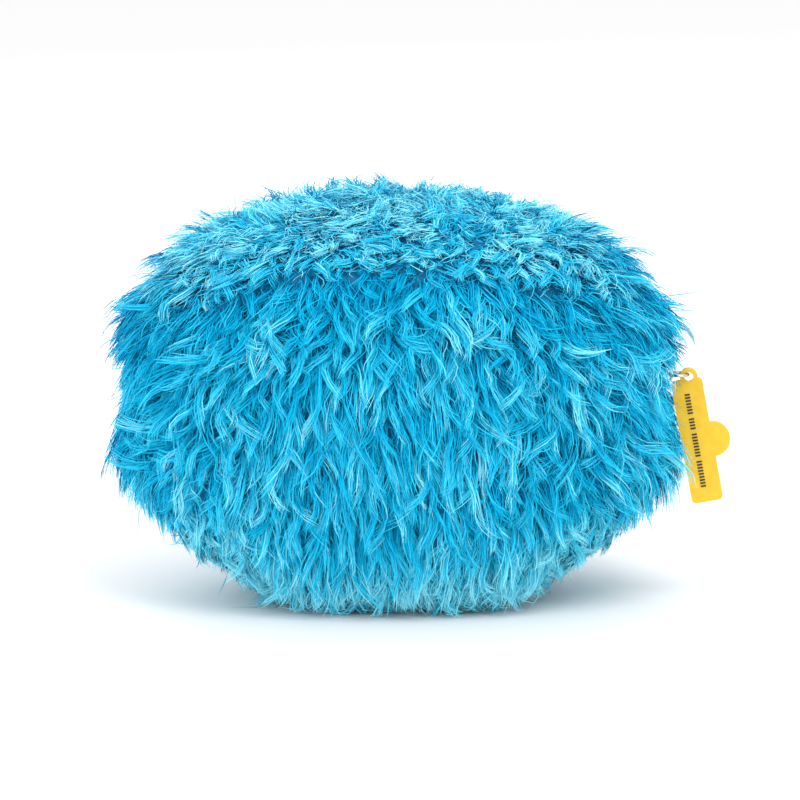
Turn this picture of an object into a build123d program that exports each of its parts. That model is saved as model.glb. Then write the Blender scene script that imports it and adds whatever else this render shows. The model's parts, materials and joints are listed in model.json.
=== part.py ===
from build123d import *
import os
from math import asin, cos, degrees, pi, radians, sin, tan

# A hand puppet's head in long pile. Its mouth is a horizontal slit round the front, closed by a zip,
# and the lower jaw swings on the fold at the back of the mouth. The hand goes in from below, into
# the gap between the jaw and the back of the head. Millimetres, +Z up, the face looks along -Y.
# The origin is the middle of the hand opening, in the plane that the head rests on.

# The head's form: round in plan at the front, a flatter ellipse at the back.
HEAD_RADIUS = 108.5
BACK_DEPTH = 62.0
HALF_HEIGHT = 83.0
MIDDLE_Z = 80.0
ROUNDNESS = 2.4
BEYOND = 200.0
TRIM = 1.5

# Layers from outside to inside, as depths below the pile's firm surface.
PILE = 8.0
FOAM_OUTSIDE = 8.2
FOAM_INSIDE = 22.0
LINING_OUTSIDE = 22.2
LINING_INSIDE = 23.2

# The mouth, its hinge line along X, and the gap that the hand goes into.
HINGE_Z = 92.0
UPPER_LEAN = 10.0
JAW_LEAN = -20.0
LAYER_SETBACK = 2.4
BINDING_SETBACK = 1.1
BINDING_THICKNESS = 1.2
LIP_GAP = 0.8
FABRIC_THICKNESS = 0.8
LAYER_GAP = 0.2
BOARD_THICKNESS = 2.4
BOARD_RADIUS = 84.4
FABRIC_RADIUS = 94.2
MOUTH_BACK_Y = -2.0

# The zip: its rows of teeth stand above and below the slit, on a circle about the head's axis.
TAPE_RADIUS = 98.7
TAPE_THICKNESS = 0.8
TAPE_HEIGHT = 8.6
TOOTH_HEIGHT = 3.0
TOOTH_LENGTH = 2.8
TOOTH_WIDTH = 1.5
TOOTH_PITCH = 3.0
BEAD_THICKNESS = 1.2
GARAGE_END_Y = 13.0
STOP_LENGTH = 2.4

# The slider, parked behind the mouth's right corner, with two wire rings and the rubber pull.
SLIDER_Y = 6.5
SLIDER_LENGTH = 10.5
PLATE_THICKNESS = 1.3
PLATE_HALF_HEIGHT = 5.2
FLANGE = 1.0
CHANNEL_DEPTH = 3.8
BRIDGE_LENGTH = 3.0
BRIDGE_THICKNESS = 1.0
BAIL_LENGTH = 8.0
BAIL_WIDTH = 1.8
BAIL_BAR = 1.6
BAIL_GAP = 2.4
WIRE_RADIUS = 0.6
WIRE_CLEARANCE = 0.2
SMALL_RING_RADIUS = 3.4
PULL_RING_RADIUS = 3.9
TAG_TILT = 10.5
TAG_THICKNESS = 3.0
TAG_LENGTH = 50.0
TAG_WIDTH = 12.5
TAG_TOP = 1.0
TAG_INSET = 1.2
EYELET_HOLE_RADIUS = 1.9
EYELET_RADIUS = 3.5
EYELET_HANG = 0.8
LOBE_RADIUS = 7.0
LOBE_DROP = 26.4
MARK_HEIGHT = 0.25
MARK_WIDTH = 2.1
MARK_LINE = 0.6
MARK_PITCH = 1.25
MARK_START = 6.0
MARK_GROUPS = (7, 4, 8, 9)

# The seams between the pile panels.
SEAM_ARCH_Z = 84.0
SEAM_ARCH_WIDTH = 99.0
SEAM_ARCH_HEIGHT = 58.0
CROWN_Z = 132.0
BASE_Z = 14.0
CHIN_Z = 20.0
GUSSET_TOP_Z = 77.0
GUSSET_INNER_X = 42.0
GUSSET_THICKNESS = 1.2

# The safety eyes.
EYE_Z = 118.0
EYE_X = 27.0
EYE_RADIUS = 10.0
EYE_FLANGE_RADIUS = 10.5
EYE_FLANGE_THICKNESS = 1.5
EYE_STEM_RADIUS = 2.2
EYE_STEM_LENGTH = 12.4
WASHER_RADIUS = 8.0
WASHER_THICKNESS = 1.8
WASHER_DEPTH = 18.2


def radius_at(z, inset=0.0):
    """Plan radius of the front of the form at a height."""
    share = abs((z - MIDDLE_Z) / (HALF_HEIGHT - inset)) ** ROUNDNESS
    return (HEAD_RADIUS - inset) * (1 - share) ** (1 / ROUNDNESS)


def head_form(inset, front):
    """The front or back half of the head's form, as a solid this far below the pile's surface."""
    radius, height = HEAD_RADIUS - inset, HALF_HEIGHT - inset
    start_z = inset - TRIM
    start = -asin(((MIDDLE_Z - start_z) / height) ** (ROUNDNESS / 2))
    steps = 12
    outline = []
    for i in range(steps + 1):
        turn = start + (pi / 2 - start) * i / steps
        rise = abs(sin(turn)) ** (2 / ROUNDNESS) * (1 if turn > 0 else -1)
        outline.append((radius * cos(turn) ** (2 / ROUNDNESS), MIDDLE_Z + height * rise))
    outline[-1] = (0.0, MIDDLE_Z + height)
    turn_axis = Axis((0, 0, 0), (0, 0, -1)) if front else Axis.Z
    with BuildPart() as form:
        with BuildSketch(Plane.XZ):
            with BuildLine():
                Spline(*outline)
                Polyline(outline[-1], (0, start_z), outline[0])
            make_face()
        revolve(axis=turn_axis, revolution_arc=180)
        if not front:
            scale(by=(1, (BACK_DEPTH - inset) / radius, 1))
        with Locations((0, 0, inset - BEYOND / 2)):
            Box(2 * BEYOND, 2 * BEYOND, BEYOND, mode=Mode.SUBTRACT)
    return form.part


def shell(outer, inner, front):
    """The front or back half of a layer between two depths."""
    with BuildPart() as layer:
        add(FORMS[outer, front])
        add(FORMS[inner, front], mode=Mode.SUBTRACT)
    return layer.part


def lower_front(top_z, lean, setback):
    """All the space below a height and in front of a plane that leans back from the hinge line."""
    back = [setback + (HINGE_Z - z) * tan(radians(lean)) for z in (top_z, -BEYOND)]
    with BuildPart() as space:
        with BuildSketch(Plane.YZ):
            with BuildLine():
                Polyline(
                    (back[0], top_z), (back[1], -BEYOND), (-BEYOND, -BEYOND), (-BEYOND, top_z), close=True
                )
            make_face()
        extrude(amount=BEYOND, both=True)
    return space.part


def ring_space(inner, outer, low_z, high_z, back_y):
    """The space between two circles about the head's axis, in front of a plane."""
    with BuildPart() as space:
        with BuildSketch(Plane.XY.offset(low_z)):
            Circle(outer)
            Circle(inner, mode=Mode.SUBTRACT)
            with Locations((0, back_y + BEYOND)):
                Rectangle(2 * BEYOND, 2 * BEYOND, mode=Mode.SUBTRACT)
        extrude(amount=high_z - low_z)
    return space.part


def slab(low_z, high_z):
    """All the space between two heights."""
    with BuildPart() as space:
        with Locations((0, 0, (low_z + high_z) / 2)):
            Box(2 * BEYOND, 2 * BEYOND, high_z - low_z)
    return space.part


def finish(piece, name):
    """Label a finished piece and write its file."""
    piece.part.label = name
    export_step(piece.part, f"parts/{name}.step")


os.makedirs("parts", exist_ok=True)

DEPTHS = (0.0, 2.0, PILE, PILE + GUSSET_THICKNESS, FOAM_OUTSIDE, FOAM_INSIDE, LINING_OUTSIDE, LINING_INSIDE)
FORMS = {(depth, front): head_form(depth, front) for depth in DEPTHS for front in (True, False)}

front_pile = shell(0.0, PILE, True)
back_pile = shell(0.0, PILE, False)
front_foam = shell(FOAM_OUTSIDE, FOAM_INSIDE, True)
back_foam = shell(FOAM_OUTSIDE, FOAM_INSIDE, False)

# The slider runs in a groove between the lips, and the tape is sewn into a narrow pocket beside it.
slider_way = ring_space(TAPE_RADIUS - 3.9, BEYOND, HINGE_Z - 7.5, HINGE_Z + 7.5, GARAGE_END_Y + 3)
tape_pocket = ring_space(TAPE_RADIUS - 0.9, TAPE_RADIUS + 1, HINGE_Z - 14.5, HINGE_Z + 14.5, GARAGE_END_Y + 3)

hand_gap = lower_front(HINGE_Z + LIP_GAP, UPPER_LEAN, LAYER_SETBACK)
foam_gap = lower_front(HINGE_Z + LIP_GAP + FABRIC_THICKNESS + LAYER_GAP, UPPER_LEAN, LAYER_SETBACK)
jaw_pile_space = lower_front(HINGE_Z - LIP_GAP, JAW_LEAN, -LAYER_SETBACK)
jaw_foam_top = HINGE_Z - LIP_GAP - FABRIC_THICKNESS - LAYER_GAP
jaw_foam_space = lower_front(jaw_foam_top, JAW_LEAN, -LAYER_SETBACK)

with BuildPart() as seam_arch:
    with BuildSketch(Plane.XZ):
        with BuildLine():
            EllipticalCenterArc((0, SEAM_ARCH_Z), SEAM_ARCH_WIDTH, SEAM_ARCH_HEIGHT, arc_size=180)
            Line((-SEAM_ARCH_WIDTH, SEAM_ARCH_Z), (SEAM_ARCH_WIDTH, SEAM_ARCH_Z))
        make_face()
    extrude(amount=-BEYOND)

# Pile panels of the head.
with BuildPart() as back_fur_panel:
    add(back_pile)
    add(seam_arch.part, mode=Mode.INTERSECT)
    for cut in (hand_gap, slider_way, tape_pocket):
        add(cut, mode=Mode.SUBTRACT)

with BuildPart() as nape_fur_panel:
    add(back_pile)
    add(slab(BASE_Z, SEAM_ARCH_Z), mode=Mode.INTERSECT)
    for cut in (hand_gap, slider_way, tape_pocket):
        add(cut, mode=Mode.SUBTRACT)

with BuildPart() as base_fur_panel:
    add(back_pile)
    add(slab(-BEYOND, BASE_Z), mode=Mode.INTERSECT)
    add(hand_gap, mode=Mode.SUBTRACT)

with BuildPart() as crown_fur_panel:
    add(back_pile)
    add(slab(SEAM_ARCH_Z, BEYOND), mode=Mode.INTERSECT)
    add(seam_arch.part, mode=Mode.SUBTRACT)
    for cut in (slider_way, tape_pocket):
        add(cut, mode=Mode.SUBTRACT)
    with BuildPart(mode=Mode.PRIVATE) as crown_front:
        add(front_pile)
        add(slab(CROWN_Z, BEYOND), mode=Mode.INTERSECT)
    add(crown_front.part)


def eye_plane(side):
    """The plane that touches the pile's surface at an eye, its normal pointing out of the head."""
    radius = radius_at(EYE_Z)
    depth = (radius**2 - EYE_X**2) ** 0.5
    slope = ROUNDNESS - 1
    out = radius**slope / HEAD_RADIUS**ROUNDNESS
    up = (EYE_Z - MIDDLE_Z) ** slope / HALF_HEIGHT**ROUNDNESS
    normal = (side * EYE_X / radius * out, -depth / radius * out, up)
    return Plane(origin=(side * EYE_X, -depth, EYE_Z), x_dir=(0, 0, 1), z_dir=normal)


EYES = {"left": eye_plane(1), "right": eye_plane(-1)}


def eye_bores(radius, start, end):
    """Round bores through the layers under both eyes, between two depths."""
    with BuildPart() as bores:
        for plane in EYES.values():
            with BuildSketch(plane.offset(-end)):
                Circle(radius)
            extrude(amount=end - start)
    return bores.part


with BuildPart() as face_fur_panel:
    add(front_pile)
    add(slab(HINGE_Z, CROWN_Z), mode=Mode.INTERSECT)
    for cut in (slider_way, tape_pocket, eye_bores(EYE_FLANGE_RADIUS + 0.8, -BEYOND / 10, PILE + 3)):
        add(cut, mode=Mode.SUBTRACT)

with BuildPart() as back_foam_pad:
    add(back_foam)
    for cut in (foam_gap, slider_way, tape_pocket):
        add(cut, mode=Mode.SUBTRACT)

with BuildPart() as face_foam_pad:
    add(front_foam)
    for cut in (foam_gap, slider_way, tape_pocket):
        add(cut, mode=Mode.SUBTRACT)
    add(eye_bores(EYE_STEM_RADIUS + 0.3, 0, BEYOND / 4), mode=Mode.SUBTRACT)
    add(eye_bores(EYE_FLANGE_RADIUS + 0.5, 0, PILE + 0.8), mode=Mode.SUBTRACT)
    add(eye_bores(WASHER_RADIUS + 0.4, WASHER_DEPTH - 0.1, WASHER_DEPTH + 8), mode=Mode.SUBTRACT)

# The jaw's pile and foam.
with BuildPart() as jaw_fur_panel:
    add(front_pile)
    add(jaw_pile_space, mode=Mode.INTERSECT)
    add(slab(-BEYOND, CHIN_Z), mode=Mode.SUBTRACT)
    for cut in (slider_way, tape_pocket):
        add(cut, mode=Mode.SUBTRACT)

with BuildPart() as chin_fur_panel:
    add(front_pile)
    add(jaw_pile_space, mode=Mode.INTERSECT)
    add(slab(-BEYOND, CHIN_Z), mode=Mode.INTERSECT)

with BuildPart() as jaw_foam:
    add(front_foam)
    add(jaw_foam_space, mode=Mode.INTERSECT)
    for cut in (slider_way, tape_pocket):
        add(cut, mode=Mode.SUBTRACT)


def half_disc(radius, low_z, thickness):
    """A flat half disc in front of the mouth's fold."""
    with BuildPart() as disc:
        with BuildSketch(Plane.XY.offset(low_z)):
            Circle(radius)
            with Locations((0, MOUTH_BACK_Y + BEYOND)):
                Rectangle(2 * BEYOND, 2 * BEYOND, mode=Mode.SUBTRACT)
        extrude(amount=thickness)
    return disc


# The mouth: a board and its fabric above the slit and below it, and the fold that joins the boards.
upper_board_z = HINGE_Z + LIP_GAP + FABRIC_THICKNESS + LAYER_GAP
lower_board_z = jaw_foam_top - BOARD_THICKNESS
upper_palate_board = half_disc(BOARD_RADIUS, upper_board_z, BOARD_THICKNESS)
lower_palate_board = half_disc(BOARD_RADIUS, lower_board_z, BOARD_THICKNESS)
upper_mouth_fabric = half_disc(FABRIC_RADIUS, HINGE_Z + LIP_GAP, FABRIC_THICKNESS)
lower_mouth_fabric = half_disc(FABRIC_RADIUS, HINGE_Z - LIP_GAP - FABRIC_THICKNESS, FABRIC_THICKNESS)

with BuildPart() as mouth_fold_strip:
    with BuildSketch(Plane.XY.offset(lower_board_z)):
        with Locations((0, MOUTH_BACK_Y + 1)):
            Rectangle(2 * (BOARD_RADIUS - 4), 1)
    extrude(amount=upper_board_z + BOARD_THICKNESS - lower_board_z)

# Fabric sleeves for the fingers and the thumb, and the lining round the palm.
finger_floor_z = upper_board_z + BOARD_THICKNESS + LAYER_GAP
with BuildPart() as finger_sleeve:
    add(FORMS[LINING_OUTSIDE, True])
    add(slab(finger_floor_z, BEYOND), mode=Mode.INTERSECT)
    with BuildPart(mode=Mode.PRIVATE) as finger_space:
        add(FORMS[LINING_INSIDE, True])
        add(slab(finger_floor_z + 1, BEYOND), mode=Mode.INTERSECT)
    add(finger_space.part, mode=Mode.SUBTRACT)

thumb_top_z = lower_board_z - LAYER_GAP
with BuildPart() as thumb_sleeve:
    add(FORMS[LINING_OUTSIDE, True])
    add(lower_front(thumb_top_z, JAW_LEAN, -LAYER_SETBACK), mode=Mode.INTERSECT)
    with BuildPart(mode=Mode.PRIVATE) as thumb_space:
        add(FORMS[LINING_INSIDE, True])
        add(slab(-BEYOND, thumb_top_z - 1), mode=Mode.INTERSECT)
    add(thumb_space.part, mode=Mode.SUBTRACT)

with BuildPart() as palm_lining:
    add(shell(LINING_OUTSIDE, LINING_INSIDE, False))
    add(hand_gap, mode=Mode.SUBTRACT)


def opening_binding(lean, side, front):
    """The binding round the hand opening: it covers the cut edge of the pile, foam and lining."""
    near, far = side * BINDING_SETBACK, side * (BINDING_SETBACK + BINDING_THICKNESS)
    low, high = min(near, far), max(near, far)
    with BuildPart() as binding:
        add(shell(2.0, LINING_INSIDE, front))
        add(lower_front(GUSSET_TOP_Z, lean, high), mode=Mode.INTERSECT)
        add(lower_front(BEYOND, lean, low), mode=Mode.SUBTRACT)
    return binding


rear_opening_binding = opening_binding(UPPER_LEAN, 1, False)
front_opening_binding = opening_binding(JAW_LEAN, -1, True)


def cheek_gusset(side):
    """The stretch panel at one side of the gap, from the jaw to the back of the head."""
    with BuildPart() as gusset:
        add(shell(PILE, PILE + GUSSET_THICKNESS, True))
        add(shell(PILE, PILE + GUSSET_THICKNESS, False))
        add(lower_front(GUSSET_TOP_Z, UPPER_LEAN, BINDING_SETBACK - 0.5), mode=Mode.INTERSECT)
        add(lower_front(BEYOND, JAW_LEAN, 0.5 - BINDING_SETBACK), mode=Mode.SUBTRACT)
        with BuildPart(mode=Mode.PRIVATE) as side_space:
            with Locations((side * (GUSSET_INNER_X + BEYOND / 2), 0, 0)):
                Box(BEYOND, BEYOND, 2 * BEYOND)
        add(side_space.part, mode=Mode.INTERSECT)
    return gusset


left_cheek_gusset = cheek_gusset(1)
right_cheek_gusset = cheek_gusset(-1)

# The zip.
garage_angle = degrees(asin(GARAGE_END_Y / TAPE_RADIUS))
tooth_angle = degrees(TOOTH_PITCH / TAPE_RADIUS)


def tape_band(low_z, high_z):
    """A band of tape round the front of the head."""
    half = TAPE_THICKNESS / 2
    return ring_space(TAPE_RADIUS - half, TAPE_RADIUS + half, low_z, high_z, GARAGE_END_Y)


def tooth_row(low_z):
    """A row of teeth on its bead, round the front of the head."""
    count = int((180 + 2 * garage_angle) / tooth_angle)
    span = (count - 1) * tooth_angle
    with BuildPart() as row:
        with BuildSketch(Plane.XY.offset(low_z)):
            Circle(TAPE_RADIUS + BEAD_THICKNESS / 2)
            Circle(TAPE_RADIUS - BEAD_THICKNESS / 2, mode=Mode.SUBTRACT)
            with PolarLocations(TAPE_RADIUS, count, 270 - span / 2, span, endpoint=True):
                Rectangle(TOOTH_LENGTH, TOOTH_WIDTH)
            with Locations((0, GARAGE_END_Y + BEYOND)):
                Rectangle(2 * BEYOND, 2 * BEYOND, mode=Mode.SUBTRACT)
        extrude(amount=TOOTH_HEIGHT)
    return row.part


upper_row_z = HINGE_Z + LIP_GAP
lower_row_z = HINGE_Z - LIP_GAP - TOOTH_HEIGHT
with BuildPart() as zip_tape_upper:
    add(tape_band(upper_row_z + TOOTH_HEIGHT, upper_row_z + TOOTH_HEIGHT + TAPE_HEIGHT))

with BuildPart() as zip_teeth_upper:
    add(tooth_row(upper_row_z))

with BuildPart() as zip_tape_lower:
    add(tape_band(lower_row_z - TAPE_HEIGHT, lower_row_z))
    add(jaw_pile_space, mode=Mode.INTERSECT)

with BuildPart() as zip_teeth_lower:
    add(tooth_row(lower_row_z))
    add(jaw_pile_space, mode=Mode.INTERSECT)

with BuildPart() as zip_end_tapes:
    add(tape_band(lower_row_z - TAPE_HEIGHT, lower_row_z))
    add(hand_gap, mode=Mode.SUBTRACT)

with BuildPart() as zip_end_teeth:
    add(tooth_row(lower_row_z))
    add(hand_gap, mode=Mode.SUBTRACT)

with BuildPart() as zip_stops:
    stop_height = 2 * (LIP_GAP + TOOTH_HEIGHT)
    for side in (-1, 1):
        stop_x = side * (TAPE_RADIUS**2 - (GARAGE_END_Y + STOP_LENGTH / 2) ** 2) ** 0.5
        with Locations((stop_x, GARAGE_END_Y + 0.1 + STOP_LENGTH / 2, HINGE_Z)):
            Box(TOOTH_LENGTH, STOP_LENGTH, stop_height)

# The slider and what hangs on it are drawn on a plane through its place on the zip: x points out
# of the head, y up, and the plane's normal runs along the zip.
slider_turn = asin(SLIDER_Y / TAPE_RADIUS)
outward = Vector(-cos(slider_turn), sin(slider_turn), 0)
along = Vector(sin(slider_turn), cos(slider_turn), 0)
slider_plane = Plane(origin=(0, 0, HINGE_Z), x_dir=outward, z_dir=outward.cross(Vector(0, 0, 1)))
level_plane = Plane(origin=(0, 0, HINGE_Z), x_dir=outward, z_dir=(0, 0, 1))

channel = CHANNEL_DEPTH / 2
plate_inner = TAPE_RADIUS - channel - PLATE_THICKNESS / 2
plate_outer = TAPE_RADIUS + channel + PLATE_THICKNESS / 2
bail_base = plate_outer + PLATE_THICKNESS / 2
with BuildPart() as zip_slider:
    with BuildSketch(slider_plane):
        with Locations((plate_inner, 0), (plate_outer, 0)):
            Rectangle(PLATE_THICKNESS, 2 * PLATE_HALF_HEIGHT)
        for side in (-1, 1):
            flange_y = side * (PLATE_HALF_HEIGHT - FLANGE / 2)
            for flange_x in (TAPE_RADIUS - channel + FLANGE / 2, TAPE_RADIUS + channel - FLANGE / 2):
                with Locations((flange_x, flange_y)):
                    Rectangle(FLANGE, FLANGE)
    extrude(amount=SLIDER_LENGTH / 2, both=True)
    with BuildSketch(level_plane):
        with Locations((TAPE_RADIUS, -SLIDER_LENGTH / 2 + BRIDGE_LENGTH / 2)):
            Rectangle(CHANNEL_DEPTH, BRIDGE_LENGTH)
    extrude(amount=BRIDGE_THICKNESS / 2, both=True)
    with BuildSketch(level_plane):
        with Locations((bail_base + (BAIL_GAP + BAIL_BAR) / 2, 0)):
            Rectangle(BAIL_GAP + BAIL_BAR, BAIL_LENGTH)
        with Locations((bail_base + BAIL_GAP / 2, 0)):
            Rectangle(BAIL_GAP, BAIL_LENGTH - 2 * BAIL_BAR, mode=Mode.SUBTRACT)
    extrude(amount=BAIL_WIDTH / 2, both=True)

small_ring_inner = bail_base + BAIL_GAP / 2
small_ring_outer = small_ring_inner + 2 * SMALL_RING_RADIUS
pull_ring_inner = small_ring_outer - 2 * WIRE_RADIUS - WIRE_CLEARANCE
pull_ring_outer = pull_ring_inner + 2 * PULL_RING_RADIUS

with BuildPart() as small_ring:
    with Locations(slider_plane.offset(0) * Location((small_ring_inner + SMALL_RING_RADIUS, 0, 0))):
        Torus(SMALL_RING_RADIUS, WIRE_RADIUS)

with BuildPart() as pull_ring:
    with Locations(level_plane.offset(0) * Location((pull_ring_inner + PULL_RING_RADIUS, 0, 0))):
        Torus(PULL_RING_RADIUS, WIRE_RADIUS)

# The pull: x across it away from the head, y up along it, from the middle of its eyelet's hole.
tilt = radians(TAG_TILT)
tag_origin = slider_plane.from_local_coords(
    (pull_ring_outer + EYELET_HANG * sin(tilt), -EYELET_HANG * cos(tilt), 0)
)
tag_across = outward * cos(tilt) + Vector(0, 0, sin(tilt))
tag_plane = Plane(origin=tag_origin, x_dir=tag_across, z_dir=along)
tag_up = -1 if tag_plane.y_dir.Z < 0 else 1
with BuildPart() as rubber_tag:
    with BuildSketch(tag_plane):
        with Locations((-TAG_INSET, -tag_up * (TAG_TOP + TAG_LENGTH / 2))):
            RectangleRounded(TAG_WIDTH, TAG_LENGTH, 1.8)
        with Locations((TAG_WIDTH / 2 - TAG_INSET, -tag_up * LOBE_DROP)):
            Circle(LOBE_RADIUS)
        Circle(EYELET_RADIUS)
        Circle(EYELET_HOLE_RADIUS, mode=Mode.SUBTRACT)
    extrude(amount=TAG_THICKNESS / 2, both=True)

with BuildPart() as tag_marks:
    with BuildSketch(tag_plane.offset(TAG_THICKNESS / 2)):
        drop = TAG_TOP + MARK_START
        for group in MARK_GROUPS:
            for _ in range(group):
                with Locations((-TAG_INSET - 0.6, -tag_up * drop)):
                    Rectangle(MARK_WIDTH, MARK_LINE)
                drop += MARK_PITCH
            drop += MARK_PITCH
    extrude(amount=MARK_HEIGHT)


def safety_eye(plane):
    """A domed eye on a flange, with the stem that goes through the foam."""
    flange_depth = PILE + 0.4
    with BuildPart() as eye:
        with BuildSketch(plane.offset(-flange_depth)):
            Circle(EYE_FLANGE_RADIUS)
        extrude(amount=EYE_FLANGE_THICKNESS)
        with Locations(plane.offset(EYE_FLANGE_THICKNESS - flange_depth)):
            Sphere(EYE_RADIUS, arc_size1=0, align=(Align.CENTER, Align.CENTER, Align.MIN))
        with BuildSketch(plane.offset(-flange_depth)):
            Circle(EYE_STEM_RADIUS)
        extrude(amount=-EYE_STEM_LENGTH)
    return eye


def eye_washer(plane):
    """The washer that locks an eye's stem, inside the foam."""
    with BuildPart() as washer:
        with BuildSketch(plane.offset(-WASHER_DEPTH - WASHER_THICKNESS)):
            Circle(WASHER_RADIUS)
            Circle(EYE_STEM_RADIUS + 0.05, mode=Mode.SUBTRACT)
        extrude(amount=WASHER_THICKNESS)
    return washer


PIECES = {
    "back_fur_panel": back_fur_panel,
    "nape_fur_panel": nape_fur_panel,
    "crown_fur_panel": crown_fur_panel,
    "face_fur_panel": face_fur_panel,
    "base_fur_panel": base_fur_panel,
    "back_foam": back_foam_pad,
    "face_foam": face_foam_pad,
    "jaw_fur_panel": jaw_fur_panel,
    "chin_fur_panel": chin_fur_panel,
    "jaw_foam": jaw_foam,
    "upper_palate_board": upper_palate_board,
    "lower_palate_board": lower_palate_board,
    "upper_mouth_fabric": upper_mouth_fabric,
    "lower_mouth_fabric": lower_mouth_fabric,
    "mouth_fold_strip": mouth_fold_strip,
    "finger_sleeve": finger_sleeve,
    "thumb_sleeve": thumb_sleeve,
    "palm_lining": palm_lining,
    "rear_opening_binding": rear_opening_binding,
    "front_opening_binding": front_opening_binding,
    "left_cheek_gusset": left_cheek_gusset,
    "right_cheek_gusset": right_cheek_gusset,
    "zip_tape_upper": zip_tape_upper,
    "zip_teeth_upper": zip_teeth_upper,
    "zip_tape_lower": zip_tape_lower,
    "zip_teeth_lower": zip_teeth_lower,
    "zip_end_tapes": zip_end_tapes,
    "zip_end_teeth": zip_end_teeth,
    "zip_stops": zip_stops,
    "zip_slider": zip_slider,
    "small_ring": small_ring,
    "pull_ring": pull_ring,
    "rubber_tag": rubber_tag,
    "tag_marks": tag_marks,
    "left_eye": safety_eye(EYES["left"]),
    "right_eye": safety_eye(EYES["right"]),
    "left_eye_washer": eye_washer(EYES["left"]),
    "right_eye_washer": eye_washer(EYES["right"]),
}
for piece_name, piece in PIECES.items():
    finish(piece, piece_name)
print("slider turn", degrees(slider_turn), "bail", bail_base + BAIL_GAP + BAIL_BAR / 2)
print("small ring", small_ring_outer, "pull ring", pull_ring_outer)
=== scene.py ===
import json
from math import cos, pi, radians, sin, tan

import bmesh
import bpy
import numpy as np
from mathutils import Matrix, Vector, noise


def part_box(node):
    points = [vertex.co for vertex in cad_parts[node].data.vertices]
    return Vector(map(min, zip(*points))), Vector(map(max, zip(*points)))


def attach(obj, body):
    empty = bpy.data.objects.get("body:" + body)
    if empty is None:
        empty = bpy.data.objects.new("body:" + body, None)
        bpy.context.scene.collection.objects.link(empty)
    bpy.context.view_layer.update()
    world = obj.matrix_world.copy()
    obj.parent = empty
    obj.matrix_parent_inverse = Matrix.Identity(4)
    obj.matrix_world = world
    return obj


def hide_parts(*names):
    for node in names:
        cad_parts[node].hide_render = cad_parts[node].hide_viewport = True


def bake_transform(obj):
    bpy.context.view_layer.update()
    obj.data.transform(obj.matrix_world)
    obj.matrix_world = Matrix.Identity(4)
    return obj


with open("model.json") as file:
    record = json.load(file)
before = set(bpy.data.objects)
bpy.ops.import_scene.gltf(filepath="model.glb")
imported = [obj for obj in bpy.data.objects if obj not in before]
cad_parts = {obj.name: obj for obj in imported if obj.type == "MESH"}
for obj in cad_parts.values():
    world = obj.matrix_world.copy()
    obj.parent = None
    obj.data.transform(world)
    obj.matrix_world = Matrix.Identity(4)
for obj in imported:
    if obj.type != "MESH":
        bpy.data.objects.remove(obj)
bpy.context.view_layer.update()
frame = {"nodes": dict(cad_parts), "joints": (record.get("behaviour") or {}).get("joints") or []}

# The puppet's head stands on the floor with its back to the camera. Its pile is made of mesh fibres
# that grow in locks from a skin a little below the firm surface that the frame holds. Metres.

nodes = frame["nodes"]
joints = {j["name"]: j for j in frame["joints"]}
random = np.random.default_rng(20)
noise.seed_set(20)
MM = 0.001

# The head's form, as the frame has it: round in plan at the front, a flatter ellipse at the back.
HEAD_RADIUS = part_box("jaw_fur_panel")[1][0]
BACK_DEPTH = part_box("back_fur_panel")[1][1]
TOP_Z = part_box("crown_fur_panel")[1][2]
MIDDLE_Z = 80 * MM
HALF_HEIGHT = TOP_Z - MIDDLE_Z
ROUNDNESS = 2.4
HINGE_Z = joints["jaw_hinge"]["pos_m"][2]
JAW_LEAN = tan(radians(20))
UPPER_LEAN = tan(radians(10))
OPENING_HALF_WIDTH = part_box("left_cheek_gusset")[0][0]
SLIDER_PLACE = np.mean(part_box("zip_slider"), axis=0)
CENTRE = np.array([0.0, 0.0, MIDDLE_Z])
UP = np.array([0.0, 0.0, 1.0])

# The seams that show: an arch over the back, and the top of the shorter pile round the base.
ARCH_Z = 84 * MM
ARCH_HALF_WIDTH = 103 * MM
ARCH_HEIGHT = 56 * MM
ARCH_OVERLAP = 6 * MM
BASE_Z = 16 * MM
CROWN_Z = 132 * MM

# No pile grows in the zip's groove, which ends behind the mouth's corners, further back on the right.
GROOVE_HALF_HEIGHT = 8 * MM
LEFT_GROOVE_END = 2 * MM
RIGHT_GROOVE_END = 14 * MM
CHEEK_MARGIN = 1 * MM

# Pile: each lock has a few short fibres that fan out low down, and long ones that draw to a point.
SKIN_DEPTH = 3.5 * MM
LOCKS = 5200
LOW_FIBRES = 5
LONG_FIBRES = 15
FIBRE_WIDTH = 0.5 * MM
LOW_REACH = 6.0 * MM
LOCK_REACH = 2.9 * MM
SECTIONS = 6
TONES = 4
MOST_FIBRES = 16000
ROOT_SCATTER = 1.2 * MM
LOCK_LENGTH = 21 * MM
LOCK_LIFT = radians(31)
LOCK_WAVE = 1.5 * MM
LEAST_LENGTH = 5 * MM
TUFT_SHARE = 0.2
STRAY_SHARE = 0.06
DROOP = np.array([0, 0, -0.2])

# How near the fibres may come to the floor, and how far out, back and forward they reach.
FLOOR_GAP = 0.4 * MM
FLOOR_SPREAD = 2.4 * MM
CLOTH_FLOOR_GAP = 0.3 * MM
WIDEST, WIDE_ROOM = 113 * MM, 11 * MM
FURTHEST_BACK, FURTHEST_FRONT, DEEP_ROOM = 66 * MM, -110 * MM, 7 * MM

WELD_REACH = 0.002 * MM
SHARP_CLOTH_EDGE = radians(40)
SHARP_MOULDED_EDGE = radians(35)


def unit(v):
    """Vectors made one long."""
    return v / np.maximum(np.linalg.norm(v, axis=-1, keepdims=True), 1e-12)


def along_surface(vectors, normals):
    """Vectors laid flat on the surface with these normals, and made one long."""
    return unit(vectors - normals * np.sum(vectors * normals, axis=1, keepdims=True))


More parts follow.
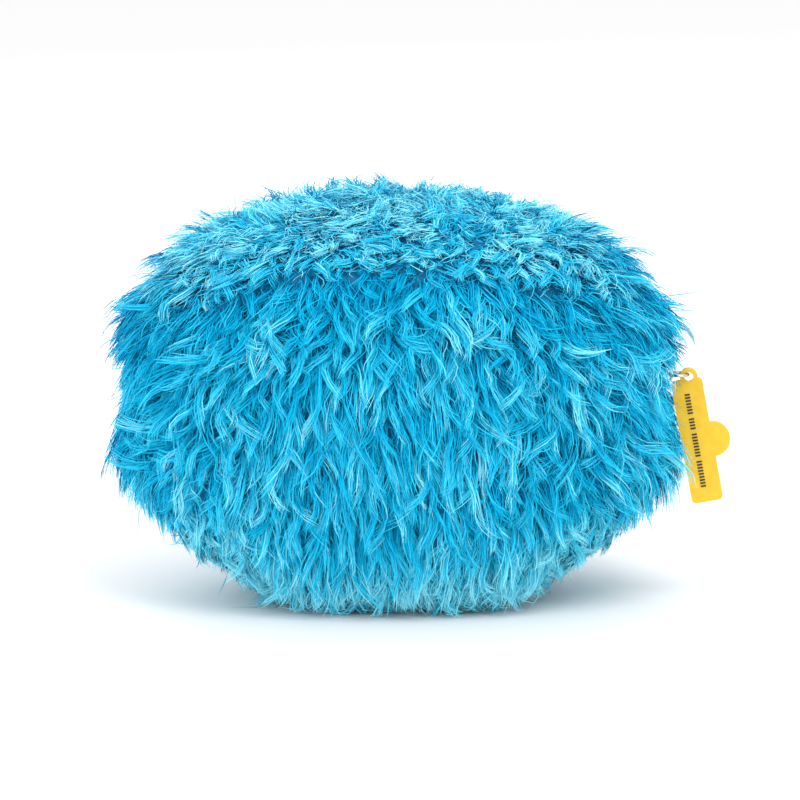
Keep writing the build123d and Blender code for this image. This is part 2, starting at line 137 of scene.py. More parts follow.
def form_value(points, inset):
    """The form's implicit function: 1 on the surface at this depth, less inside."""
    radius, height = HEAD_RADIUS - inset, HALF_HEIGHT - inset
    squash = np.where(points[..., 1] > 0, (BACK_DEPTH - inset) / radius, 1.0)
    plan = np.hypot(points[..., 0], points[..., 1] / squash)
    return (plan / radius) ** ROUNDNESS + (np.abs(points[..., 2] - MIDDLE_Z) / height) ** ROUNDNESS


def onto_form(points, inset):
    """Points moved along lines from the head's middle onto the surface at this depth."""
    away = points - CENTRE
    return CENTRE + away * (form_value(points, inset) ** (-1 / ROUNDNESS))[..., None]


def form_normals(points, inset):
    """Outward normals of the form at points on it."""
    step = 0.2 * MM
    slope = [form_value(points + step * axis, inset) - form_value(points - step * axis, inset)
             for axis in np.eye(3)]
    return unit(np.stack(slope, axis=-1))


def spread_points(count, low_z):
    """Points spread evenly over the form above a height, on a spiral that follows its area."""
    golden_angle = pi * (3 - 5 ** 0.5)
    share = np.linspace((low_z - MIDDLE_Z) / HALF_HEIGHT, 0.9995, 4000)
    heights = MIDDLE_Z + HALF_HEIGHT * share
    plan = HEAD_RADIUS * (1 - np.abs(share) ** ROUNDNESS) ** (1 / ROUNDNESS)
    strip = np.hypot(np.diff(plan), np.diff(heights)) * (plan[1:] + plan[:-1]) / 2
    area = np.concatenate([[0.0], np.cumsum(strip)])
    turns = np.arange(count) * golden_angle
    z = np.interp((np.arange(count) + 0.5) / count * area[-1], area, heights)
    around = np.interp(z, heights, plan)
    points = np.stack([around * np.cos(turns), around * np.sin(turns), z], axis=-1)
    points[:, 1] *= np.where(points[:, 1] > 0, BACK_DEPTH / HEAD_RADIUS, 1.0)
    return points


def smooth_step(low, high, value):
    """0 below low, 1 above high, smooth between."""
    t = np.clip((value - low) / (high - low), 0, 1)
    return t * t * (3 - 2 * t)


def hump(value, middle, width):
    """1 at the middle, and falling smoothly to nothing about two widths away."""
    return np.exp(-((value - middle) / width) ** 2)


def swirl(points, scale, seed):
    """Smooth noise vectors at points, one swirl about this far across."""
    offset = Vector((seed * 7.1, seed * 3.3, seed * 5.7))
    return np.array([noise.noise_vector(Vector(p) / scale + offset) for p in points])


def arch_distance(points):
    """How far points on the back lie outside the arched seam, as seen from behind."""
    across = np.abs(points[:, 0]) / ARCH_HALF_WIDTH
    rise = np.maximum(points[:, 2] - ARCH_Z, 0) / ARCH_HEIGHT
    return ((across ** 2.4 + rise ** 2.4) ** (1 / 2.4) - 1) * ARCH_HEIGHT


def zones_of(points):
    """The name of the zone that each point of the skin belongs to."""
    x, y, z = points.T
    drop = HINGE_Z - z
    below = drop > 0
    in_gap = below & (y > -JAW_LEAN * drop - CHEEK_MARGIN) & (y < UPPER_LEAN * drop + CHEEK_MARGIN)
    behind = (y > 0) & ~in_gap
    zone = np.full(len(points), "face", dtype=object)
    zone[z > CROWN_Z] = "crown"
    zone[behind] = "back"
    zone[behind & (arch_distance(points) > 0) & (z > ARCH_Z - ARCH_OVERLAP)] = "crown"
    zone[behind & (z < BASE_Z)] = "base"
    zone[below & (y <= 0) & ~in_gap] = "jaw"
    zone[in_gap] = "cheek"
    zone[in_gap & (np.abs(x) < OPENING_HALF_WIDTH)] = "none"
    groove_end = np.where(x > 0, LEFT_GROOVE_END, RIGHT_GROOVE_END)
    zone[(y < groove_end) & (np.abs(z - HINGE_Z) < GROOVE_HALF_HEIGHT)] = "none"
    return zone


def lock_shapes(roots, normals, zone):
    """How each lock lies, from where it grows.

    That is its flow over the skin, lift off it, length, wave, curl to one side, tone, how deep it is in
    the crease, and fluff, which is how far its fibres part. The tone is the pile's own colour with painted
    light and painted shade added to it.
    """
    x, y, z = roots.T
    count = len(roots)
    behind = y > 0
    plan = np.hypot(x, np.where(behind, y * HEAD_RADIUS / BACK_DEPTH, y))
    combed_back = (1 - smooth_step(8 * MM, 46 * MM, plan)) * (z > MIDDLE_Z)
    fall = -UP * (1 - combed_back)[:, None] + np.array([0, 1.0, 0]) * combed_back[:, None]
    down = along_surface(fall, normals)
    away_from_middle = np.clip(x / (70 * MM), -1, 1)[:, None] * np.array([1.0, 0, 0])
    flow = down + 0.3 * swirl(roots, 26 * MM, 1) + 0.14 * random.normal(size=roots.shape)
    lift = LOCK_LIFT + random.normal(size=count) * radians(7)
    length = np.full(count, LOCK_LENGTH)
    wave = np.full(count, LOCK_WAVE)
    curl = random.normal(size=count) * 0.45
    tone = random.normal(size=count) * 0.5 + 0.8 * swirl(roots, 22 * MM, 4)[:, 0]

    # The seam over the back is a crease, with ruffled pile below it.
    band = arch_distance(roots)
    arched = behind & (z > ARCH_Z - 2 * ARCH_OVERLAP)
    crease = hump(band, -3 * MM, 5 * MM) * arched
    crease *= 1 - smooth_step(70 * MM, 98 * MM, np.abs(x))
    under_crease = hump(band, -17 * MM, 13 * MM) * behind
    wave += under_crease * 1.0 * MM
    curl += under_crease * random.normal(size=count) * 0.6
    flow += (under_crease * 0.75)[:, None] * swirl(roots, 17 * MM, 2)
    length -= under_crease * 3.5 * MM
    lift += under_crease * radians(10)

    # Towards its sides, the back's pile fans outwards.
    corner = smooth_step(40 * MM, 100 * MM, np.abs(x)) * (zone == "back")
    flow += (corner * 0.5)[:, None] * away_from_middle

    # The crown's pile stands up in loose tufts, shorter on the top and along the crease. Its tone is
    # raised, a painted highlight on the top of the head, with less of it near the crease.
    crown = (zone == "crown") * (1 - 0.75 * smooth_step(72 * MM, 100 * MM, np.abs(x)))
    top = crown * smooth_step(134 * MM, 156 * MM, z)
    lowest_row = crown * (1 - smooth_step(4 * MM, 14 * MM, band))
    puff = 0.95 * swirl(roots, 15 * MM, 3) + 0.15 * away_from_middle + 0.7 * UP
    loose = crown * smooth_step(4 * MM, 17 * MM, band)
    flow = flow * (1 - 0.65 * loose)[:, None] + puff * loose[:, None]
    lift += crown * radians(13) + top * radians(9)
    lift += lowest_row * radians(6)
    length -= crown * 3.5 * MM + top * np.where(x > 0, 7, 9) * MM + lowest_row * 2.5 * MM
    wave += crown * 1.0 * MM
    curl += loose * random.normal(size=count) * 0.8
    # Painted highlight: the crown's tone is raised, least near the crease.
    tone += crown * 1.7 * (0.2 + 0.8 * smooth_step(2 * MM, 24 * MM, band))

    # The sides' pile stands out above, and is tucked in and short below. Above, the left side's tone is
    # lowered with painted shade and the right side's raised with painted light. Below, both sides are
    # made paler with painted light.
    side = smooth_step(66 * MM, 98 * MM, np.abs(x)) * smooth_step(48 * MM, 74 * MM, z)
    side *= 1 - smooth_step(112 * MM, 136 * MM, z)
    flow += (side * 0.4)[:, None] * away_from_middle
    lift += side * radians(14)
    length += side * 1 * MM
    # Painted shade on the left side (x > 0) and painted light on the right side.
    tone += side * np.where(x > 0, -0.3, 0.2)
    tuck = smooth_step(40 * MM, 80 * MM, np.abs(x)) * (1 - smooth_step(34 * MM, 64 * MM, z))
    flow -= (tuck * 0.9)[:, None] * away_from_middle
    lift -= tuck * radians(22)
    length -= tuck * 9 * MM
    # Painted light: the tucked lower sides are made paler.
    tone += tuck * 0.6

    # The pile makes room for the slider at both ends of its way.
    far_park = SLIDER_PLACE * np.array([-1, 1, 1])
    near_slider = hump(np.linalg.norm(roots - SLIDER_PLACE, axis=1), 0, 15 * MM)
    near_park = hump(np.linalg.norm(roots - far_park, axis=1), 0, 17 * MM)
    length -= (near_slider * 12 + near_park * 8) * MM
    lift -= near_slider * radians(14) + near_park * radians(16)

    # The lowest band is short and curly, and painted pale: painted light on the pile near the floor.
    base = 1 - smooth_step(12 * MM, 32 * MM, z)
    length -= base * 7 * MM
    wave += base * 1.2 * MM
    curl += base * random.normal(size=count) * 0.9
    lift += base * radians(14)
    # Painted light: the tone is raised towards the floor.
    tone += 1.7 * (1 - smooth_step(14 * MM, 52 * MM, z))

    # Long flat locks cover the groove's end behind the left corner of the mouth.
    cover = hump(z, 106 * MM, 8 * MM) * behind * (x > 0) * (y < 24 * MM)
    lift -= cover * radians(26)
    length += cover * 5 * MM

    # Short pile along the mouth and round the eyes, combed away from them.
    lip = hump(z, HINGE_Z, 15 * MM) * ((zone == "face") | (zone == "jaw"))
    upper_lip = lip * (zone == "face")
    length -= lip * 6.5 * MM
    flow += (upper_lip * 1.1)[:, None] * (away_from_middle + 0.9 * UP)
    for name in ("left_eye", "right_eye"):
        low, high = (np.array(corner_point) for corner_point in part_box(name))
        apart = roots - (low + high) / 2
        near = hump(np.linalg.norm(apart, axis=1), 0, 17 * MM)
        length -= near * 11 * MM
        lift -= near * radians(10)
        flow += (near * 2.4)[:, None] * unit(apart)

    # The crease is darker with painted shade. A share of the locks are longer tufts that stand up.
    sunk = crease * (band < 2 * MM)
    length -= sunk * 2.5 * MM
    # Painted shade: the tone is lowered along the crease.
    tone -= crease * 0.9
    length *= random.uniform(0.8, 1.18, count)
    tuft = (random.uniform(0, 1, count) < TUFT_SHARE) * np.clip(crown + side + base + under_crease, 0, 1)
    tuft *= near_slider + near_park < 0.1
    length *= 1 + 0.35 * tuft
    lift += tuft * radians(20)
    curl += tuft * random.normal(size=count) * 0.7
    tone += tuft * 0.5
    fluff = np.clip(loose + 0.5 * base, 0, 1)
    length = np.maximum(length, LEAST_LENGTH)
    return along_surface(flow, normals), lift, length, wave, curl, tone, sunk, fluff


def drawn_in(value, high, room, low=None):
    """Values kept within a little room past two limits, without a hard edge."""
    low = -high if low is None else low
    value = np.where(value > high, high + room * np.tanh((value - high) / room), value)
    return np.where(value < low, low + room * np.tanh((value - low) / room), value)


def grow_pile():
    """Every fibre of the pile: its points, widths' directions, shading normals, tone and zone."""
    roots = spread_points(LOCKS, 3 * MM)
    roots += random.normal(size=roots.shape) * ROOT_SCATTER
    roots = onto_form(roots, SKIN_DEPTH)
    zone = zones_of(roots)
    kept = zone != "none"
    roots, zone = roots[kept], zone[kept]
    normals = form_normals(roots, SKIN_DEPTH)
    flow, lift, length, wave, curl, tone, sunk, fluff = lock_shapes(roots, normals, zone)
    locks = len(roots)
    phase = random.uniform(0, 2 * pi, locks)
    cycles = random.uniform(0.6, 1.15, locks)
    sideways = np.cross(normals, flow)

    per_lock = LOW_FIBRES + LONG_FIBRES
    lock = np.repeat(np.arange(locks), per_lock)
    count = len(lock)
    low = np.tile(np.arange(per_lock) < LOW_FIBRES, locks)
    stray = ~low & (random.uniform(0, 1, count) < STRAY_SHARE)
    reach = np.where(low, LOW_REACH, LOCK_REACH) * np.sqrt(random.uniform(0, 1, count))
    turn = random.uniform(0, 2 * pi, count)
    spread = (reach * np.cos(turn))[:, None] * flow[lock]
    spread += (reach * np.sin(turn))[:, None] * sideways[lock]
    fibre_roots = onto_form(roots[lock] + spread, SKIN_DEPTH + 1 * MM)
    fibre_roots -= (sunk[lock] * ROOT_SCATTER)[:, None] * normals[lock]
    own_normals = form_normals(fibre_roots, SKIN_DEPTH)
    own_length = length[lock] * random.uniform(0.8, 1.1, count)
    own_length = own_length * np.where(low, 0.6, 1) * np.where(stray, 1.1, 1)
    lift_spread = np.where(low, radians(12), radians(3))
    own_lift = lift[lock] + random.normal(size=count) * lift_spread + stray * radians(12)
    fluff = fluff[lock]
    gather = np.where(low, 0.1, np.where(stray, 0.2, random.uniform(0.8, 0.97, count) * (1 - 0.35 * fluff)))
    scatter = np.where(stray, 2.4, np.where(low, 1.5, 0.35 + 0.8 * fluff)) * MM
    own_noise = random.normal(size=(count, 3)) * scatter[:, None]
    own_wave = wave[lock] * random.uniform(0.85, 1.15, count)
    own_phase = phase[lock] + random.normal(size=count) * np.where(low, 1.5, 0.18)
    own_curl = curl[lock] + random.normal(size=count) * np.where(low, 0.4, 0.06 + 0.3 * fluff)

    along = np.linspace(0, 1, SECTIONS + 1)
    points = np.empty((count, SECTIONS + 1, 3))
    points[:, 0] = fibre_roots
    place = fibre_roots.copy()
    for i in range(1, SECTIONS + 1):
        s = along[i]
        rise = own_lift * (1.6 - 1.35 * s ** 0.8)
        veer = own_curl * s ** 1.2
        course = np.cos(veer)[:, None] * flow[lock] + np.sin(veer)[:, None] * sideways[lock]
        heading = np.cos(rise)[:, None] * course + np.sin(rise)[:, None] * own_normals + s * DROOP
        place = place + unit(heading) * (own_length / SECTIONS)[:, None]
        bend = own_wave * np.sin(2 * pi * cycles[lock] * s + own_phase) * s ** 0.8
        toward = -spread * (gather * s ** 0.9)[:, None]
        points[:, i] = place + bend[:, None] * sideways[lock] + toward + own_noise * s ** 1.6
    floor = FLOOR_GAP + FLOOR_SPREAD * random.uniform(0, 1, count)
    points[:, :, 2] = np.maximum(points[:, :, 2], floor[:, None])
    points[:, :, 0] = drawn_in(points[:, :, 0], WIDEST, WIDE_ROOM)
    points[:, :, 1] = drawn_in(points[:, :, 1], FURTHEST_BACK, DEEP_ROOM, low=FURTHEST_FRONT)

    tangent = unit(np.gradient(points, axis=1))
    flat = unit(np.cross(tangent, own_normals[:, None]))
    edge = np.cross(flat, tangent)
    roll = random.normal(size=count)[:, None] * radians(24)
    roll = np.clip(roll + along * random.normal(size=count)[:, None] * 0.5, -1.2, 1.2)
    side = np.cos(roll)[..., None] * flat + np.sin(roll)[..., None] * edge
    rounding = 0.75 * np.where(low, 0.3, 1) * np.sin(turn) * reach / LOCK_REACH
    shading = unit(own_normals + np.clip(rounding, -0.9, 0.9)[:, None] * sideways[lock])
    # Painted shade: the short low fibres deep in the pile get a darker tone, except in the crown.
    own_tone = tone[lock] + random.normal(size=count) * 0.4 + 1.5 - 0.9 * low * (zone[lock] != "crown")
    own_tone = np.clip(np.round(own_tone), 0, TONES - 1).astype(int)
    return points, side, shading, own_tone, zone[lock]


# Materials.
def new_material(name, colour, roughness, **settings):
    """A material on a Principled shader, whose sockets take plain values."""
    material = bpy.data.materials.new(name)
    material.use_nodes = True
    shader = material.node_tree.nodes["Principled BSDF"]
    shader.inputs["Base Color"].default_value = (*colour, 1)
    shader.inputs["Roughness"].default_value = roughness
    for socket, value in settings.items():
        shader.inputs[socket.replace("_", " ")].default_value = value
    return material


def mottle(material, dark, light, scale, bump=0.0, bump_scale=None, detail=4.0):
    """Gives a material a noise of two colours and a fine bump, both in the object's own space."""
    tree = material.node_tree
    shader = tree.nodes["Principled BSDF"]
    place = tree.nodes.new("ShaderNodeTexCoord")
    cloud = tree.nodes.new("ShaderNodeTexNoise")
    cloud.inputs["Scale"].default_value = scale
    cloud.inputs["Detail"].default_value = detail
    ramp = tree.nodes.new("ShaderNodeValToRGB")
    ramp.color_ramp.elements[0].position = 0.3
    ramp.color_ramp.elements[0].color = (*dark, 1)
    ramp.color_ramp.elements[1].position = 0.7
    ramp.color_ramp.elements[1].color = (*light, 1)
    tree.links.new(place.outputs["Object"], cloud.inputs["Vector"])
    tree.links.new(cloud.outputs["Fac"], ramp.inputs["Fac"])
    tree.links.new(ramp.outputs["Color"], shader.inputs["Base Color"])
    if bump:
        grain = tree.nodes.new("ShaderNodeTexNoise")
        grain.inputs["Scale"].default_value = bump_scale
        grain.inputs["Detail"].default_value = 3.0
        lumps = tree.nodes.new("ShaderNodeBump")
        lumps.inputs["Strength"].default_value = bump
        lumps.inputs["Distance"].default_value = 0.3 * MM
        tree.links.new(place.outputs["Object"], grain.inputs["Vector"])
        tree.links.new(grain.outputs["Fac"], lumps.inputs["Height"])
        tree.links.new(lumps.outputs["Normal"], shader.inputs["Normal"])
    return material


def weave(material, dark, light, pitch, depth):
    """Gives a material a plain weave of two crossing sets of threads."""
    tree = material.node_tree
    shader = tree.nodes["Principled BSDF"]
    place = tree.nodes.new("ShaderNodeTexCoord")
    waves = []
    for direction in ("X", "Z"):
        wave = tree.nodes.new("ShaderNodeTexWave")
        wave.bands_direction = direction
        wave.inputs["Scale"].default_value = 1 / pitch / 3.2
        wave.inputs["Distortion"].default_value = 0.4
        tree.links.new(place.outputs["Object"], wave.inputs["Vector"])
        waves.append(wave)
    crossed = tree.nodes.new("ShaderNodeMath")
    crossed.operation = "MULTIPLY"
    for i, wave in enumerate(waves):
        tree.links.new(wave.outputs["Fac"], crossed.inputs[i])
    ramp = tree.nodes.new("ShaderNodeValToRGB")
    ramp.color_ramp.elements[0].color = (*dark, 1)
    ramp.color_ramp.elements[1].color = (*light, 1)
    lumps = tree.nodes.new("ShaderNodeBump")
    lumps.inputs["Strength"].default_value = 0.6
    lumps.inputs["Distance"].default_value = depth
    tree.links.new(crossed.outputs["Value"], ramp.inputs["Fac"])
    tree.links.new(ramp.outputs["Color"], shader.inputs["Base Color"])
    tree.links.new(crossed.outputs["Value"], lumps.inputs["Height"])
    tree.links.new(lumps.outputs["Normal"], shader.inputs["Normal"])
    return material


# One colour at the root and one at the tip for each tone, from the darkest. The dark roots are painted
# shade deep in the pile, and the pale tips a painted highlight. The tips turn pale late.
ROOT_COLOURS = [(0.000, 0.225, 0.455), (0.000, 0.325, 0.595), (0.000, 0.435, 0.715), (0.000, 0.585, 0.825)]
TIP_COLOURS = [(0.000, 0.400, 0.690), (0.004, 0.520, 0.810), (0.050, 0.660, 0.920), (0.310, 0.870, 1.000)]
TIP_LATENESS = 1.6


def fibre_materials():
    """One material for each section of a fibre in each tone, darker at the root with painted shade, paler
    at the tip with a painted highlight, and darker in the low tones.
    """
    made = []
    for tone in range(TONES):
        for section in range(SECTIONS):
            share = (section / (SECTIONS - 1)) ** TIP_LATENESS
            colour = [a + (b - a) * share for a, b in zip(ROOT_COLOURS[tone], TIP_COLOURS[tone])]
            made.append(new_material(f"pile_{tone}_{section}", colour, 0.65, Specular_IOR_Level=0.04))
    return made


FIBRE_MATERIALS = fibre_materials()
TAPER = np.interp(np.linspace(0, 1, SECTIONS + 1), [0, 0.35, 0.75, 1], [0.85, 1.0, 0.75, 0.12])


def fibre_piece(name, points, side, normals, tone):
    """One mesh of flat tapering fibres."""
    count = len(points)
    half = side * (TAPER * FIBRE_WIDTH / 2)[None, :, None]
    vertices = np.stack([points - half, points + half], axis=2).reshape(-1, 3)
    ring = np.arange(SECTIONS)
    corner = np.stack([2 * ring, 2 * ring + 1, 2 * ring + 3, 2 * ring + 2], axis=-1)
    loops = (np.arange(count)[:, None, None] * 2 * (SECTIONS + 1) + corner).reshape(-1)
    faces = count * SECTIONS
    mesh = bpy.data.meshes.new(name)
    mesh.vertices.add(len(vertices))
    mesh.vertices.foreach_set("co", vertices.astype(np.float32).reshape(-1))
    mesh.loops.add(4 * faces)
    mesh.loops.foreach_set("vertex_index", loops.astype(np.int32))
    mesh.polygons.add(faces)
    mesh.polygons.foreach_set("loop_start", np.arange(0, 4 * faces, 4, dtype=np.int32))
    material_index = tone[:, None] * SECTIONS + ring
    mesh.polygons.foreach_set("material_index", material_index.astype(np.int32).reshape(-1))
    mesh.polygons.foreach_set("use_smooth", np.ones(faces, dtype=bool))
    mesh.update(calc_edges=True)
    across = np.cross(side, np.gradient(points, axis=1))
    across = unit(across * np.sign(np.sum(across * normals[:, None], axis=-1, keepdims=True)))
    shading = unit(0.4 * across + 0.8 * normals[:, None])
    mesh.normals_split_custom_set_from_vertices(np.repeat(shading, 2, axis=1).reshape(-1, 3))
    for material in FIBRE_MATERIALS:
        mesh.materials.append(material)
    piece = bpy.data.objects.new(name, mesh)
    bpy.context.scene.collection.objects.link(piece)
    return piece


def copy_of(node, name, fine_edge=1.0):
    """A new object from a CAD node's mesh, welded, with no edge longer than fine_edge."""
    mesh = nodes[node].data.copy()
    mesh.name = name
    mesh.materials.clear()
    work = bmesh.new()
    work.from_mesh(mesh)
    bmesh.ops.remove_doubles(work, verts=work.verts, dist=WELD_REACH)
    for _ in range(6):
        long_edges = [edge for edge in work.edges if edge.calc_length() > fine_edge]
        if not long_edges:
            break
        bmesh.ops.subdivide_edges(work, edges=long_edges, cuts=1)
        bmesh.ops.triangulate(work, faces=[face for face in work.faces if len(face.verts) > 3])
    work.to_mesh(mesh)
    work.free()
    piece = bpy.data.objects.new(name, mesh)
    bpy.context.scene.collection.objects.link(piece)
    return piece


def vertices_of(mesh):
    """A mesh's vertices as an array."""
    flat = np.empty(len(mesh.vertices) * 3)
    mesh.vertices.foreach_get("co", flat)
    return flat.reshape(-1, 3)


def finish_cloth(mesh, places, material):
    """Moves a mesh's vertices, clear of the floor, with soft shading that keeps the edges sharp."""
    places[:, 2] = np.maximum(places[:, 2], CLOTH_FLOOR_GAP)
    mesh.vertices.foreach_set("co", places.reshape(-1))
    mesh.update()
    mesh.shade_smooth()
    mesh.set_sharp_from_angle(angle=SHARP_CLOTH_EDGE)
    mesh.materials.append(material)


def skin_piece(node, name, outside_depth):
    """The woven backing of a pile panel: what lies outside one depth is drawn to the fibres' roots."""
    piece = copy_of(node, name)
    mesh = piece.data
    places = vertices_of(mesh)
    outside = form_value(places, outside_depth) > 1
    places[outside] = onto_form(places, SKIN_DEPTH)[outside]
    finish_cloth(mesh, places, BACKING)
    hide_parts(node)
    return piece


BACKING = mottle(new_material("pile_backing", (0.0, 0.17, 0.35), 0.85),
                 (0.0, 0.13, 0.28), (0.0, 0.22, 0.42), 140, bump=0.6, bump_scale=900)

# Each pile panel: its body, its cut's width and length, the cut's area, and what it is sewn over.
PANELS = (
    ("back", "head", (0.200, 0.065), 0.0100, "back_foam"),
    ("nape", "head", (0.260, 0.075), 0.0170, "back_foam"),
    ("crown", "head", (0.340, 0.090), 0.0230, "back_foam"),
    ("face", "head", (0.300, 0.045), 0.0125, "face_foam"),
    ("base", "head", (0.100, 0.030), 0.0021, "back_foam"),
    ("jaw", "jaw", (0.310, 0.080), 0.0196, "jaw_foam"),
    ("chin", "jaw", (0.120, 0.055), 0.0050, "jaw_foam"),
)
for panel, body, cut, cut_area, under in PANELS:
    backing = skin_piece(f"{panel}_fur_panel", f"{panel}_backing", SKIN_DEPTH)
    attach(backing, body)

CHEEK_DEPTH = 8.6 * MM
for hand in ("left", "right"):
    cheek = skin_piece(f"{hand}_cheek_gusset", f"{hand}_cheek_backing", CHEEK_DEPTH)
    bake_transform(cheek)

points, side, normals, tone, zone = grow_pile()
for name in ("back", "crown", "face", "base", "jaw", "cheek"):
    members = np.flatnonzero(zone == name)
    batches = np.array_split(members, max(1, -(-len(members) // MOST_FIBRES)))
    for i, chosen in enumerate(batches, 1):
        pile = fibre_piece(f"{name}_pile_{i}", points[chosen], side[chosen], normals[chosen], tone[chosen])
        if name == "cheek":
            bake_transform(pile)
        else:
            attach(pile, "jaw" if name == "jaw" else "head")


# Everything that keeps its CAD shape gets its own material.
def dress(names, material):
    """Gives CAD nodes a material."""
    for name in names:
        slots = nodes[name].data.materials
        slots.clear()
        slots.append(material)


TAPE = weave(new_material("zip_tape_weave", (0.0, 0.2, 0.4), 0.8),
             (0.0, 0.12, 0.25), (0.01, 0.3, 0.5), 0.5 * MM, 0.1 * MM)
TEETH = mottle(new_material("zip_teeth_plastic", (0.0, 0.25, 0.45), 0.3),
               (0.0, 0.2, 0.4), (0.005, 0.3, 0.52), 300, bump=0.1, bump_scale=2000)
METAL = mottle(new_material("plated_metal", (0.7, 0.68, 0.62), 0.22, Metallic=1.0),
               (0.58, 0.55, 0.48), (0.82, 0.8, 0.76), 400, bump=0.08, bump_scale=1500)
RUBBER = mottle(new_material("yellow_rubber", (0.85, 0.52, 0.015), 0.42,
                             Subsurface_Weight=0.12, Subsurface_Scale=1.5 * MM),
                (0.81, 0.49, 0.010), (0.90, 0.570, 0.022), 220, bump=0.12, bump_scale=1600)
INK = mottle(new_material("black_marks", (0.012, 0.012, 0.01), 0.5),
             (0.008, 0.008, 0.007), (0.02, 0.019, 0.016), 600)
EYE = mottle(new_material("eye_plastic", (0.006, 0.006, 0.007), 0.08,
                          Coat_Weight=1.0, Coat_Roughness=0.03),
             (0.004, 0.004, 0.005), (0.01, 0.01, 0.012), 200)
FOAM = mottle(new_material("foam_cells", (0.8, 0.78, 0.7), 0.9),
              (0.7, 0.67, 0.58), (0.86, 0.84, 0.77), 500, bump=0.8, bump_scale=1400)
BOARD = mottle(new_material("board_fibre", (0.12, 0.12, 0.13), 0.7),
               (0.09, 0.09, 0.1), (0.15, 0.15, 0.16), 160, bump=0.3, bump_scale=700)
MOUTH = weave(new_material("mouth_cloth", (0.02, 0.02, 0.025), 0.9),
              (0.008, 0.008, 0.01), (0.045, 0.045, 0.055), 0.6 * MM, 0.12 * MM)
LINING = weave(new_material("lining_cloth", (0.01, 0.05, 0.2), 0.75),
               (0.006, 0.03, 0.13), (0.02, 0.08, 0.28), 0.45 * MM, 0.08 * MM)
BINDING = weave(new_material("binding_tape", (0.0, 0.2, 0.4), 0.75),
                (0.0, 0.12, 0.27), (0.01, 0.28, 0.5), 0.6 * MM, 0.1 * MM)
WASHER = mottle(new_material("washer_plastic", (0.8, 0.8, 0.78), 0.5),
                (0.74, 0.74, 0.72), (0.85, 0.85, 0.83), 200)
dress(("zip_tape_upper", "zip_tape_lower", "zip_end_tapes"), TAPE)
dress(("zip_teeth_upper", "zip_teeth_lower", "zip_end_teeth"), TEETH)
dress(("zip_slider", "small_ring", "pull_ring", "zip_stops"), METAL)
dress(("rubber_tag",), RUBBER)
dress(("tag_marks",), INK)
dress(("left_eye", "right_eye"), EYE)
dress(("upper_palate_board", "lower_palate_board"), BOARD)
dress(("left_eye_washer", "right_eye_washer"), WASHER)

ROUNDED = (("rubber_tag", 0.55 * MM), ("zip_slider", 0.28 * MM), ("zip_stops", 0.3 * MM))
for moulded, width in ROUNDED:
    edges = nodes[moulded].modifiers.new("rounded edges", "BEVEL")
    edges.width = width
    edges.segments = 3
    edges.limit_method = "ANGLE"
    edges.angle_limit = SHARP_MOULDED_EDGE
for turned in ("rubber_tag", "zip_slider", "zip_stops", "small_ring", "pull_ring", "left_eye", "right_eye"):
    nodes[turned].data.shade_smooth()


# The foam and the cloth inside: soft copies, puckered by one field so that the layers stay apart.
def softened(node, name, material, fine_edge, pucker):
    """A CAD soft solid made again on a finer mesh, with gentle puckers."""
    piece = copy_of(node, name, fine_edge)
    mesh = piece.data
    places = vertices_of(mesh)
    places += pucker(places)
    finish_cloth(mesh, places, material)
    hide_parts(node)
    return piece


PUCKER_DEPTH = 0.55 * MM
MOUTH_PUCKER_DEPTH = 0.8 * MM


def sewn_puckers(places):
    """Small puckers everywhere but near the stiff boards."""
    free = smooth_step(5.5 * MM, 14 * MM, np.abs(places[:, 2] - HINGE_Z))
    return (PUCKER_DEPTH * free)[:, None] * (swirl(places, 9 * MM, 6) + 0.8 * swirl(places, 24 * MM, 7))


def mouth_puckers(places):
    """Puckers of the mouth's cloth, away from its board into the slit."""
    away = np.sign(HINGE_Z - places[:, 2])
    return np.abs(swirl(places, 8 * MM, 8)[:, :1]) * away[:, None] * np.array([0, 0, MOUTH_PUCKER_DEPTH])


FOAM_EDGE = 9 * MM
CLOTH_EDGE = 5 * MM
FOAMS = (("back_foam", "head"), ("face_foam", "head"), ("jaw_foam", "jaw"))
for node, body in FOAMS:
    pad = softened(node, f"{node}_pad", FOAM, FOAM_EDGE, sewn_puckers)
    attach(pad, body)

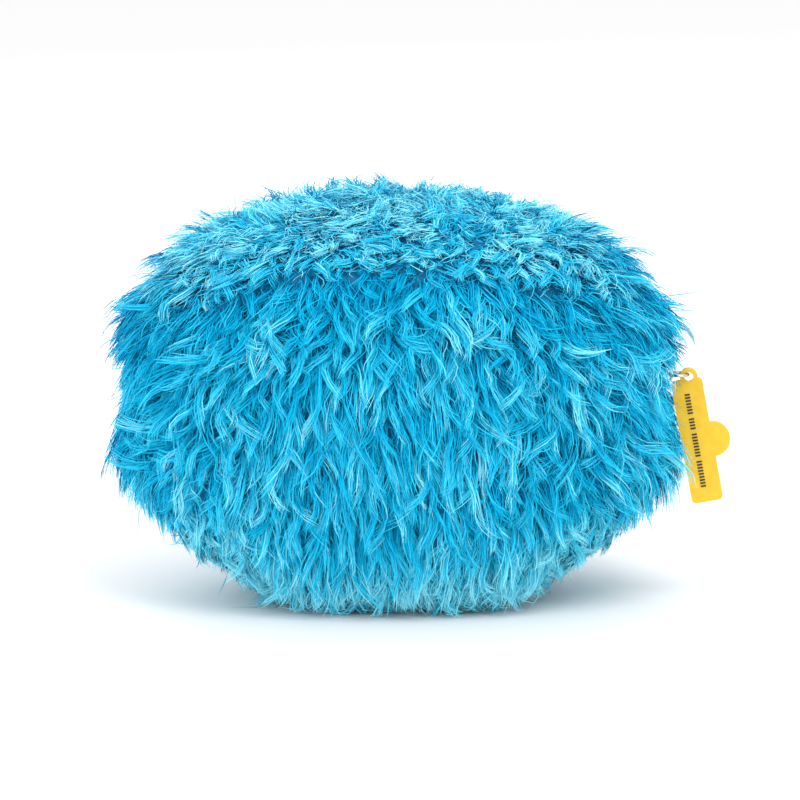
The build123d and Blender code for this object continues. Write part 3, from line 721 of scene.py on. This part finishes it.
# Each cloth: its body or none where it bends, look, slot, puckers, cut's width and length, cut's area.
CLOTHS = (
    ("palm_lining", "head", LINING, "lining", sewn_puckers, (0.270, 0.120), 0.0223),
    ("finger_sleeve", "head", LINING, "lining", sewn_puckers, (0.240, 0.150), 0.0270),
    ("thumb_sleeve", "jaw", LINING, "lining", sewn_puckers, (0.240, 0.150), 0.0279),
    ("rear_opening_binding", "head", BINDING, "binding", sewn_puckers, (0.300, 0.024), 0.0057),
    ("front_opening_binding", "jaw", BINDING, "binding", sewn_puckers, (0.300, 0.024), 0.0055),
    ("upper_mouth_fabric", "head", MOUTH, "mouth_fabric", mouth_puckers, (0.1884, 0.0922), 0.0136),
    ("lower_mouth_fabric", "jaw", MOUTH, "mouth_fabric", mouth_puckers, (0.1884, 0.0922), 0.0136),
    ("mouth_fold_strip", None, MOUTH, "mouth_fabric", sewn_puckers, (0.161, 0.010), 0.00135),
)
for node, body, material, slot, pucker, cut, cut_area in CLOTHS:
    cloth = softened(node, f"{node}_cloth", material, CLOTH_EDGE, pucker)
    if body:
        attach(cloth, body)
    else:
        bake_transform(cloth)


# The floor, the light and the camera.
def studio():
    """A pale floor, a soft white room and three wide lamps."""
    bpy.ops.mesh.primitive_plane_add(size=40)
    floor = bpy.context.object
    floor.name = "floor"
    floor.data.materials.append(new_material("pale_floor", (0.93, 0.93, 0.93), 0.7))
    world = bpy.data.worlds.new("room")
    bpy.context.scene.world = world
    world.use_nodes = True
    sky = world.node_tree.nodes["Background"]
    sky.inputs["Color"].default_value = (1, 1, 1, 1)
    sky.inputs["Strength"].default_value = 1.0
    middle = Vector((0, 0, MIDDLE_Z))
    for name, place, size, power in (
        ("key", (-0.5, 0.9, 1.5), 0.9, 14.0),
        ("fill", (1.0, 1.1, 0.5), 1.1, 6.0),
        ("front", (0.4, -1.2, 0.9), 1.0, 7.0),
    ):
        lamp = bpy.data.lights.new(name, "AREA")
        lamp.size = size
        lamp.energy = power
        holder = bpy.data.objects.new(name, lamp)
        holder.location = place
        holder.rotation_euler = (middle - Vector(place)).to_track_quat("-Z", "Y").to_euler()
        bpy.context.scene.collection.objects.link(holder)


def add_camera():
    """The camera behind the head and a little above it, on a long lens."""
    distance, frame_width, elevation = 2.4, 0.320, radians(10)
    target = Vector((-1.2 * MM, 0, 80.3 * MM))
    camera = bpy.data.cameras.new("camera")
    camera.lens = camera.sensor_width * distance / frame_width
    holder = bpy.data.objects.new("camera", camera)
    away = Vector((0, cos(elevation), sin(elevation)))
    holder.location = target + away * distance
    holder.rotation_euler = (-away).to_track_quat("-Z", "Y").to_euler()
    bpy.context.scene.collection.objects.link(holder)
    bpy.context.scene.camera = holder


studio()
add_camera()
bpy.context.scene.view_settings.view_transform = "Standard"
